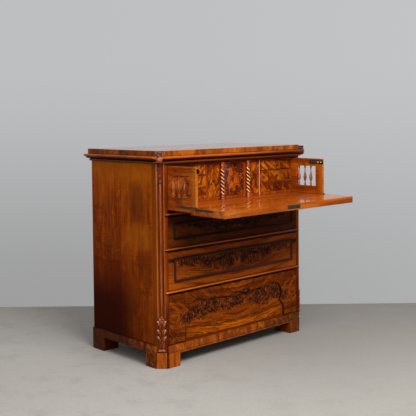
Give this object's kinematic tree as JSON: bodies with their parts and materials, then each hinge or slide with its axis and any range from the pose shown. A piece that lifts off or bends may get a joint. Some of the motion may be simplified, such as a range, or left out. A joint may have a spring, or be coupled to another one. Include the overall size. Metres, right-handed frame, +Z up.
{
  "type": "secretaire chest of drawers",
  "caption": "Secretaire chest: long drawers under a pull-out writing drawer with hinged fall, small drawers, centre door, twisted columns and spindle galleries.",
  "frame": {"origin": "on the floor plane, at the centre of the footprint with the writing drawer out and its fall open", "axes": "+Z up, the front faces -Y, +X to the right seen from the front"},
  "size_m": [1.091, 0.958, 1.04],
  "materials": {
    "walnut_veneer": "french polished veneer, glossy, warm brown",
    "carved_walnut": "carved and turned solid wood, satin polish",
    "softwood": "bare aged softwood, dull",
    "flame_veneer": "french polished flame figured veneer, glossy",
    "dark_moulding": "dark stained polished moulding",
    "drawer_lining": "bare oak, aged",
    "fall_veneer": "french polished veneer, very glossy, worn at one corner",
    "interior_veneer": "polished veneer, glossy, reddish",
    "turned_wood": "turned and polished",
    "dark_bronze": "dark patinated",
    "hinge_iron": "dark, worn bright on the high spots",
    "aged_brass": "aged, dull"
  },
  "bodies": {
    "case": {"bottom_board": "softwood", "case_back": "softwood", "corner_posts": "walnut_veneer", "corner_reeds": "carved_walnut", "cornice_moulding": "walnut_veneer", "drawer_rails": "walnut_veneer", "drawer_runners": "softwood", "drawer_stops": "softwood", "front_feet": "walnut_veneer", "leaf_carvings": "carved_walnut", "plinth_frame": "walnut_veneer", "rear_feet": "walnut_veneer", "side_left": "walnut_veneer", "side_right": "walnut_veneer", "top_board": "walnut_veneer", "top_rail": "walnut_veneer"},
    "secretaire_drawer": {"gallery_side_left": "interior_veneer", "gallery_side_right": "interior_veneer", "gallery_spindles": "turned_wood", "secretaire_floor": "interior_veneer", "secretaire_back": "interior_veneer", "fitment_carcase": "interior_veneer", "twist_columns": "turned_wood", "fall_hinge_side_leaves": "hinge_iron", "catch_plates": "hinge_iron"},
    "fall": {"fall_board": "fall_veneer", "fall_moulding": "dark_moulding", "fall_hinge_leaves": "hinge_iron", "fall_lock": "hinge_iron"},
    "lock_bolt": {"fall_lock_bolt": "hinge_iron"},
    "centre_door": {"centre_door": "interior_veneer", "centre_door_fittings": "aged_brass"},
    "small_drawer_left_bottom_body": {"small_drawer_left_bottom": "interior_veneer", "small_knob_left_bottom": "dark_bronze"},
    "small_drawer_left_middle_body": {"small_drawer_left_middle": "interior_veneer", "small_knob_left_middle": "dark_bronze"},
    "small_drawer_left_top_body": {"small_drawer_left_top": "interior_veneer", "small_knob_left_top": "dark_bronze"},
    "narrow_drawer_left_body": {"narrow_drawer_left": "interior_veneer", "narrow_knob_left": "dark_bronze"},
    "small_drawer_right_bottom_body": {"small_drawer_right_bottom": "interior_veneer", "small_knob_right_bottom": "dark_bronze"},
    "small_drawer_right_middle_body": {"small_drawer_right_middle": "interior_veneer", "small_knob_right_middle": "dark_bronze"},
    "small_drawer_right_top_body": {"small_drawer_right_top": "interior_veneer", "small_knob_right_top": "dark_bronze"},
    "narrow_drawer_right_body": {"narrow_drawer_right": "interior_veneer", "narrow_knob_right": "dark_bronze"},
    "upper_drawer": {"upper_drawer_front": "flame_veneer", "upper_drawer_box": "drawer_lining", "upper_drawer_moulding": "dark_moulding", "upper_drawer_lock": "aged_brass"},
    "middle_drawer": {"middle_drawer_front": "flame_veneer", "middle_drawer_box": "drawer_lining", "middle_drawer_moulding": "dark_moulding", "middle_drawer_lock": "aged_brass"},
    "lower_drawer": {"lower_drawer_front": "flame_veneer", "lower_drawer_box": "drawer_lining", "lower_drawer_moulding": "dark_moulding", "lower_drawer_lock": "aged_brass"}
  },
  "joints": [
    {"name": "secretaire_slide", "type": "slide", "parent": "case", "child": "secretaire_drawer", "axis": [0, -1, 0], "range_m": [-0.229, 0]},
    {"name": "fall_hinge", "type": "hinge", "parent": "secretaire_drawer", "child": "fall", "pos_m": [0, -0.291, 0.779], "axis": [-1, 0, 0], "range_deg": [0, 90]},
    {"name": "lock_bolt_slide", "type": "slide", "parent": "fall", "child": "lock_bolt", "axis": [0, -1, 0], "range_m": [0, 0.008]},
    {"name": "centre_door_hinge", "type": "hinge", "parent": "secretaire_drawer", "child": "centre_door", "pos_m": [-0.0691, -0.0734, 0.8735], "axis": [0, 0, -1], "range_deg": [0, 90]},
    {"name": "small_drawer_left_bottom_slide", "type": "slide", "parent": "secretaire_drawer", "child": "small_drawer_left_bottom_body", "axis": [0, -1, 0], "range_m": [0, 0.12]},
    {"name": "small_drawer_left_middle_slide", "type": "slide", "parent": "secretaire_drawer", "child": "small_drawer_left_middle_body", "axis": [0, -1, 0], "range_m": [0, 0.12]},
    {"name": "small_drawer_left_top_slide", "type": "slide", "parent": "secretaire_drawer", "child": "small_drawer_left_top_body", "axis": [0, -1, 0], "range_m": [0, 0.12]},
    {"name": "narrow_drawer_left_slide", "type": "slide", "parent": "secretaire_drawer", "child": "narrow_drawer_left_body", "axis": [0, -1, 0], "range_m": [0, 0.12]},
    {"name": "small_drawer_right_bottom_slide", "type": "slide", "parent": "secretaire_drawer", "child": "small_drawer_right_bottom_body", "axis": [0, -1, 0], "range_m": [0, 0.12]},
    {"name": "small_drawer_right_middle_slide", "type": "slide", "parent": "secretaire_drawer", "child": "small_drawer_right_middle_body", "axis": [0, -1, 0], "range_m": [0, 0.12]},
    {"name": "small_drawer_right_top_slide", "type": "slide", "parent": "secretaire_drawer", "child": "small_drawer_right_top_body", "axis": [0, -1, 0], "range_m": [0, 0.12]},
    {"name": "narrow_drawer_right_slide", "type": "slide", "parent": "secretaire_drawer", "child": "narrow_drawer_right_body", "axis": [0, -1, 0], "range_m": [0, 0.12]},
    {"name": "upper_drawer_slide", "type": "slide", "parent": "case", "child": "upper_drawer", "axis": [0, -1, 0], "range_m": [0, 0.33]},
    {"name": "middle_drawer_slide", "type": "slide", "parent": "case", "child": "middle_drawer", "axis": [0, -1, 0], "range_m": [0, 0.33]},
    {"name": "lower_drawer_slide", "type": "slide", "parent": "case", "child": "lower_drawer", "axis": [0, -1, 0], "range_m": [0, 0.33]}
  ]
}
